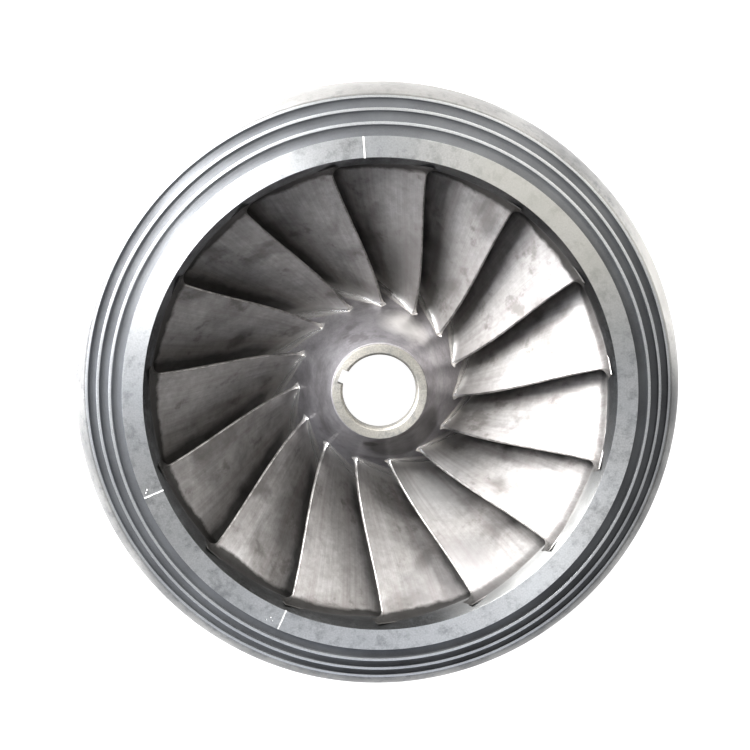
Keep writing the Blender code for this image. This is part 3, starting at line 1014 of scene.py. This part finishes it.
def lay_blade_zones(tree, place, ragged, colour, roughness):
    """Colour and roughness of a blade, with painted shade and polished beads that carry a painted
    highlight.
    """
    clearance = add_node(tree, "Attribute", attribute_name="clearance").outputs["Fac"]
    band_gap = add_node(tree, "Attribute", attribute_name="band_gap").outputs["Fac"]
    polished_and_highlit = add_node(tree, "Attribute", attribute_name="fillet_share").outputs["Fac"]
    # Masks of painted shade: beside the next blade's edge, and in the corner by the band.
    shadow_gap = add_node(tree, "Math", {0: clearance, 1: ragged}, operation="ADD").outputs[0]
    corner_gap = add_node(tree, "Math", {0: band_gap, 1: ragged}, operation="ADD").outputs[0]
    inputs = {0: corner_gap, 1: CORNER_SHADE_REACH, 2: CORNER_SHADE_REACH + RAGGED, 3: 0.9, 4: 0.0}
    corner_shade = add_node(tree, "MapRange", inputs).outputs[0]
    # Round the lit side at the right, the painted shade in the corner is weaker.
    inputs = {0: place, 1: LIT_SIDE_CENTRE}
    gap = add_node(tree, "VectorMath", inputs, operation="DISTANCE").outputs["Value"]
    inputs = {0: gap, 1: LIT_SIDE_RADIUS, 2: LIT_SIDE_RADIUS + LIT_SIDE_BORDER, 3: 0.3, 4: 1.0}
    shade_kept = add_node(tree, "MapRange", inputs).outputs[0]
    inputs = {0: corner_shade, 1: shade_kept}
    painted_shade = add_node(tree, "Math", inputs, operation="MULTIPLY").outputs[0]

    # Painted shadow of the next blade's edge, then painted shade in the corner by the band.
    colour = lay_over(tree, shadow_gap, SHADOW_REACH + 2 * RAGGED, SHADOW_REACH, 0.75, colour, AS_CAST_AND_SHADE)
    colour = lay_over(tree, painted_shade, 0.0, 1.0, 1.0, colour, AS_CAST_AND_SHADE)
    # The polished beads, painted lighter as a painted highlight too.
    colour = lay_over(tree, polished_and_highlit, 0.0, 1.0, 1.0, colour, POLISHED_AND_HIGHLIGHT)
    inputs = {0: painted_shade, 2: roughness, 3: CORNER_ROUGHNESS}
    roughness = add_node(tree, "Mix", inputs, data_type="FLOAT").outputs[0]
    inputs = {0: polished_and_highlit, 2: roughness, 3: POLISHED_ROUGHNESS}
    roughness = add_node(tree, "Mix", inputs, data_type="FLOAT").outputs[0]
    return colour, roughness


def ground_metal(name, bright, stain, smear, rough, patches, streaks):
    """Hand-ground casting. streaks is True on a blade, which has a UV map and numbers of its own."""
    material, shader = new_metal(name, 0.0, metallic=0.85)
    tree = material.node_tree
    coordinates = add_node(tree, "TexCoord")
    place = coordinates.outputs["Object"]
    if streaks:
        scale = (BLADE_GIRTH / STREAK_SPACING, BLADE_SPAN / STREAK_LENGTH, 1.0)
        inputs = {"Vector": coordinates.outputs["UV"], "Scale": scale}
        along = add_node(tree, "Mapping", inputs).outputs[0]
        inputs = {"Vector": along, "Scale": 1.0, "Detail": 4.0}
    else:
        inputs = {"Vector": place, "Scale": 1 / STREAK_SPACING, "Detail": 4.0}
    lines = add_node(tree, "TexNoise", inputs).outputs[0]
    inputs = {"Vector": place, "Scale": 1 / STAIN, "Detail": 7.0, "Roughness": 0.62}
    stains = add_node(tree, "TexNoise", inputs).outputs[0]
    inputs = {"Vector": place, "Scale": 1 / BLOT, "Detail": 5.0, "Distortion": 0.6}
    blots = add_node(tree, "TexNoise", inputs).outputs[0]
    inputs = {"Vector": place, "Scale": 1 / MOTTLE, "Detail": 8.0, "Roughness": 0.75}
    mottle = add_node(tree, "TexNoise", inputs).outputs[0]

    colour = lay_over(tree, mottle, 0.4, 0.62, 0.6, bright, stain)
    colour = lay_over(tree, stains, 0.38, 0.68, 0.8, colour, stain)
    colour = lay_over(tree, stains, 0.58, 0.66, 0.5, colour, smear)
    colour = lay_over(tree, blots, 0.52, 0.66, 0.6, colour, smear)
    colour = lay_over(tree, lines, 0.35, 0.7, 0.2, colour, smear)
    inputs = {0: stains, 1: NOISE_LOW, 2: NOISE_HIGH, 3: -RAGGED, 4: RAGGED}
    ragged = add_node(tree, "MapRange", inputs).outputs[0]
    colour = lay_patches(tree, place, ragged, colour, patches)
    inputs = {0: stains, 1: NOISE_LOW, 2: NOISE_HIGH, 3: rough - 0.06, 4: rough + 0.12}
    roughness = add_node(tree, "MapRange", inputs).outputs[0]
    if streaks:
        inputs = {"Vector": along, "Scale": WIPING, "Detail": 3.0}
        wiping = add_node(tree, "TexNoise", inputs).outputs[0]
        colour = lay_over(tree, wiping, 0.5, 0.7, 0.4, colour, WIPED)
        nicked = lay_over(tree, mottle, 0.45, 0.6, 0.7, EDGE_GREY, AS_CAST_AND_SHADE)
        on_edge = add_node(tree, "Attribute", attribute_name="edge_share").outputs["Fac"]
        colour = lay_over(tree, on_edge, 0.0, 1.0, 1.0, colour, nicked)
        colour, roughness = lay_blade_zones(tree, place, ragged, colour, roughness)
    inputs = {"Height": lines, "Strength": 0.35, "Distance": 0.15 * MM}
    bump = add_node(tree, "Bump", inputs)
    tree.links.new(colour, shader.inputs["Base Color"])
    tree.links.new(roughness, shader.inputs["Roughness"])
    tree.links.new(bump.outputs[0], shader.inputs["Normal"])
    return material


# %% Finishes from the grinder
# Satin grey, white where the light falls straight back. A painted highlight lies at the lower right
# of the hub, a duller patch at the outer lower right and one above the hub.
blade_steel = ground_metal(
    "ground_blade_steel",
    "#CCCAC9",
    "#9C9895",
    "#5A5754",
    rough=0.42,
    streaks=True,
    patches=(
        # A white painted highlight on the blades at the lower right of the hub.
        ((0.078, -0.130, 0.180), 0.065, 0.050, "#FFFFFF", 0.6),
        ((0.100, -0.250, 0.290), 0.085, 0.040, "#A8A5A5", 0.6),
        ((0.050, 0.162, 0.190), 0.080, 0.050, "#807D7A", 0.65),
    ),
)
# The hub's nose is darker and bluer. A painted highlight lies above the sleeve. Below it the nose is
# painted darker, partly painted shade and partly a dark smear, with a small dark smear in it.
crown_steel = ground_metal(
    "ground_crown_steel",
    "#ACAAAD",
    "#888589",
    "#575354",
    rough=0.46,
    streaks=False,
    patches=(
        # A painted highlight above the sleeve.
        ((0.038, 0.085, 0.190), 0.044, 0.030, "#F2F0EE", 0.8),
        # Painted shade and a dark smear together, on the lower side.
        ((0.040, -0.072, 0.210), 0.066, 0.012, "#4A4745", 0.7),
        ((-0.012, -0.081, 0.222), 0.014, 0.004, "#2E2C2A", 0.8),
    ),
)
print("materials:", len(bpy.data.materials))

# %% [markdown]
# ## Finish by place
#
# Each ring carries two to four finishes. A face's finish follows from where it is and which way it
# faces. On a seal ring the tops of the lands are bright, the floors of the grooves rough, and the
# sides dull. On the band the outlet face is fine turned, the flank outside the seal scuffed, the
# wetted wall coarse, and the floor of a scribed mark is fresh metal.

# %% Give the faces their materials
# A face counts as facing a way when the cosine of the angle between them is over this.
FACING = 0.3
LAND_TOLERANCE = 0.0007
ANNULUS_MARGIN = 0.0008
MARK_FLOOR_LOW = 0.0012
MARK_FLOOR_HIGH = 0.00002
CROWN_BACK_MARGIN = 0.004


def set_finishes(piece, finishes, choose):
    """Gives a piece its materials, and each face the one whose number choose returns."""
    piece.data.materials.clear()
    for finish in finishes:
        piece.data.materials.append(finish)
    for face in piece.data.polygons:
        face.material_index = choose(face)


def land_or_groove(lands, facing):
    """Chooses on a seal ring: 0 for a land, 1 for a groove's floor, 2 for a side."""

    def choose(face):
        at_land = any(abs(face.center.z - height) < LAND_TOLERANCE for height in lands)
        if at_land and face.normal.z * facing > FACING:
            return 0
        return 1 if abs(face.normal.z) > FACING else 2

    return choose


def band_finish(face):
    """Chooses on the band: 0 for the outlet face, 1 for a mark, 2 for the flank, 3 for the wall."""
    centre = face.center
    radius = math.hypot(centre.x, centre.y)
    if radius > ledge_outer:
        return 2
    if face.normal.x * centre.x + face.normal.y * centre.y < -FACING * radius:
        return 3
    outer = OUTLET_FACE_RADIUS - ANNULUS_MARGIN
    on_annulus = OUTLET_RADIUS + ANNULUS_MARGIN < radius < outer
    below = MARK_FLOOR_HIGH < OUTLET_FACE_HEIGHT - centre.z < MARK_FLOOR_LOW
    return 1 if on_annulus and below else 0


def crown_finish(face):
    return int(face.center.z < CROWN_INLET_HEIGHT - CROWN_BACK_MARGIN)


band_lands = [height for _inner, _outer, height in BAND_LANDS]
seal_finishes = (land_steel, groove_steel, step_steel)
set_finishes(band, (turned_steel, mark_steel, flank_steel, wall_steel), band_finish)
set_finishes(band_ring, seal_finishes, land_or_groove(band_lands, 1))
set_finishes(crown_ring, seal_finishes, land_or_groove([CROWN_RING_BOTTOM], -1))
set_finishes(crown, (crown_steel, turned_steel), crown_finish)
set_finishes(sleeve, (sleeve_steel,), lambda face: 0)
for blade in blades:
    set_finishes(blade, (blade_steel,), lambda face: 0)
print("faces in the marks:", sum(face.material_index == 1 for face in band.data.polygons))

# %% [markdown]
# ## Hand the pieces over
#
# The wheel is rigid, so everything rides on its one body. Each piece stands for the node of the
# plain model that it was shaped from.

# %% Riding on one body, and the plain parts hidden
for piece, slot, node in (
    (band, "turned_steel", "band"),
    (band_ring, "turned_steel", "band_seal_ring"),
    (crown, "ground_casting", "crown"),
    (crown_ring, "turned_steel", "crown_seal_ring"),
    (sleeve, "sleeve_steel", "shaft_sleeve"),
):
    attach(piece, "root")
    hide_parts(node)
for i, blade in enumerate(blades):
    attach(blade, "root")
    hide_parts(f"blade_{i + 1:02d}")

# %% [markdown]
# ## Floor and light
#
# The photograph is cut out on white, so the wheel lies on a light table: a matt floor that glows
# white, which also keeps the bore white. The light comes from the upper left, low enough that it
# falls on the blades of the right, whose faces lean that way, and leaves those of the left in their
# own shade. A small lamp nearer the axis makes the white wedge across the turned rings. The other
# windows are weak. They lift the rim, the walls and the lower grooves as a bright workshop would.

# %% Floor
deselect_all()
bpy.ops.mesh.primitive_plane_add(size=12.0, location=(0, 0, 0))
floor = bpy.context.object
floor.name = "light_table"
table_white = bpy.data.materials.new("matt_white_table")
table_white.use_nodes = True
table_shader = table_white.node_tree.nodes["Principled BSDF"]
# A base under white keeps the wheel's own reflection of the table soft. The glow makes it white.
table_shader.inputs["Base Color"].default_value = (*linear("#8A8A8A"), 1.0)
table_shader.inputs["Roughness"].default_value = 0.9
table_shader.inputs["Emission Color"].default_value = (1.0, 1.0, 1.0, 1.0)
table_shader.inputs["Emission Strength"].default_value = 1.0
floor.data.materials.append(table_white)

# %% Lights


def soft_window(name, clockwise, from_axis, distance, size, watts, tint="#FFFFFF"):
    """An area light aimed at the wheel. Angles are in degrees, clockwise from the picture's top."""
    turn = math.radians(90.0 - clockwise)
    lean = math.radians(from_axis)
    sideways = math.sin(lean)
    direction = Vector((sideways * math.cos(turn), sideways * math.sin(turn), math.cos(lean)))
    bpy.ops.object.light_add(type="AREA", location=face_centre + distance * direction)
    light = bpy.context.object
    light.name = name
    light.data.shape = "RECTANGLE"
    light.data.size = size[0]
    light.data.size_y = size[1]
    light.data.energy = watts
    light.data.color = linear(tint)
    light.rotation_euler = direction.to_track_quat("Z", "Y").to_euler()


# The main light, in two windows side by side, and a higher one behind them.
soft_window("left_window", 300.0, 65.0, 2.6, (1.1, 0.9), 172.0)
soft_window("top_window", 330.0, 65.0, 2.6, (1.1, 0.9), 120.0)
soft_window("upper_window", 300.0, 45.0, 2.6, (1.0, 0.9), 52.0)
# Cool daylight from the left, and some from the top right for the blades there.
soft_window("side_window", 268.0, 60.0, 2.6, (0.9, 1.0), 30.0, "#F2F6FF")
soft_window("far_window", 20.0, 67.0, 2.6, (1.0, 0.9), 22.0)
# Warm fill from the right and cool fill from below, for the outlet face and the grooves.
soft_window("right_fill", 40.0, 42.0, 2.6, (2.0, 0.9), 28.0, "#FFFAF0")
soft_window("lower_fill", 180.0, 45.0, 2.6, (2.8, 0.9), 18.0, "#EAF1FF")
# Two low windows that graze the flank of the rim.
soft_window("low_right", 72.0, 80.0, 2.6, (1.2, 0.7), 14.0)
soft_window("low_left", 290.0, 84.0, 2.6, (2.6, 0.5), 14.0)
# The ceiling over the wheel, and the lamp of the white wedge.
soft_window("ceiling", 0.0, 0.0, 3.0, (2.6, 2.6), 16.0)
soft_window("lamp", 313.5, 38.0, 3.0, (0.3, 0.3), 60.0)

# %% Room
world = bpy.data.worlds.new("dim_room")
bpy.context.scene.world = world
world.use_nodes = True
room = world.node_tree.nodes["Background"]
room.inputs["Color"].default_value = (*linear("#D8DADE"), 1.0)
room.inputs["Strength"].default_value = 0.05
bpy.context.scene.view_settings.view_transform = "Standard"
